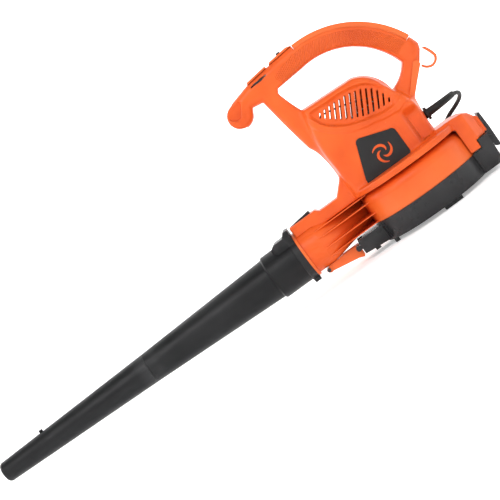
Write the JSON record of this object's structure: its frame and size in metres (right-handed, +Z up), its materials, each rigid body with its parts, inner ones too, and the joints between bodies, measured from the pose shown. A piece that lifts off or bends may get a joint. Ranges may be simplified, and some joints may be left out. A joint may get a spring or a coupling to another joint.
{
  "type": "leaf blower",
  "caption": "Corded hand-held leaf blower: round fan casing under a motor tower with a looped handle, a long tapered two-piece tube and a hinged intake cover.",
  "frame": {"origin": "on the fan's axis, in the plane under the feet", "axes": "+Z up along the fan and motor shaft, +X to the back, so the tube points along -X"},
  "size_m": [0.9623, 0.23, 0.3504],
  "materials": {
    "housing_orange": "satin moulded",
    "tube_black": "satin moulded",
    "cover_black": "satin moulded",
    "nameplate": "printed",
    "rubber_black": "soft",
    "steel": "turned",
    "core_steel": "laminated",
    "fan_grey": "moulded",
    "copper": "enamelled",
    "aluminium": "cast",
    "brass": "stamped",
    "carbon": "pressed",
    "circuit_board": "lacquered"
  },
  "bodies": {
    "body": {"housing_left": "housing_orange", "housing_right": "housing_orange", "grip_cap": "housing_orange", "switch_frame": "housing_orange", "dial_frame": "housing_orange", "rear_leg_cover_left": "housing_orange", "rear_leg_cover_right": "housing_orange", "cord_hook": "housing_orange", "scroll_casing": "housing_orange", "casing_floor": "housing_orange", "hinge_bracket": "housing_orange", "nameplate_left": "nameplate", "nameplate_right": "nameplate", "duct_seal": "rubber_black", "hook_pin": "steel", "cover_hinge_pin": "steel", "release_spring": "steel", "field_core": "core_steel", "field_coils": "copper", "lower_bearing_plate": "aluminium", "upper_bearing_bridge": "aluminium", "lower_bearing": "steel", "upper_bearing": "steel", "motor_posts": "steel", "brush_holders": "brass", "carbon_brushes": "carbon", "brush_springs": "steel", "motor_shroud": "tube_black", "air_baffle": "tube_black", "switch_body": "tube_black", "dial_post": "steel", "control_board": "circuit_board", "interlock_switch": "tube_black", "strain_relief": "rubber_black", "power_cord": "rubber_black", "cord_plug": "rubber_black", "plug_blades": "brass", "lead_wires": "rubber_black", "cord_clamp": "tube_black", "housing_screws": "steel", "casing_screws": "steel"},
    "rotor": {"impeller": "fan_grey", "motor_shaft": "steel", "impeller_nut": "steel", "impeller_washer": "steel", "armature_core": "core_steel", "armature_windings": "copper", "commutator": "copper"},
    "tube": {"rear_tube": "tube_black", "front_tube": "tube_black"},
    "cover": {"intake_cover": "cover_black", "cover_knuckles": "cover_black", "cover_feet": "rubber_black", "latch_pin": "steel", "latch_spring": "steel"},
    "latch": {"latch_lever": "cover_black"},
    "release_button": {"tube_release_button": "cover_black"},
    "switch": {"switch_knob": "tube_black"},
    "dial": {"speed_dial": "tube_black"}
  },
  "joints": [
    {"name": "fan_spin", "type": "hinge", "parent": "body", "child": "rotor", "pos_m": [0, 0, 0.1], "axis": [0, 0, 1], "continuous": true},
    {"name": "tube_slide", "type": "slide", "parent": "body", "child": "tube", "axis": [-1, 0, 0], "range_m": [0, 0.07]},
    {"name": "cover_hinge", "type": "hinge", "parent": "body", "child": "cover", "pos_m": [-0.1416, 0, 0.025], "axis": [0, 1, 0], "range_deg": [0, 60]},
    {"name": "latch_hinge", "type": "hinge", "parent": "cover", "child": "latch", "pos_m": [0.1276, 0, 0.044], "axis": [0, 1, 0], "range_deg": [0, 12], "stiffness_Nm_per_rad": 0.3, "springref_deg": -5.73},
    {"name": "release_press", "type": "slide", "parent": "body", "child": "release_button", "axis": [0, 0, -1], "range_m": [0, 0.0022], "stiffness_N_per_m": 500, "springref_m": -0.002, "deforming": ["release_spring"]},
    {"name": "switch_slide", "type": "slide", "parent": "body", "child": "switch", "axis": [-1, 0, 0], "range_m": [0, 0.008]},
    {"name": "dial_turn", "type": "hinge", "parent": "body", "child": "dial", "pos_m": [-0.113, 0, 0.331], "axis": [0, 0, 1], "range_deg": [0, 270]}
  ]
}
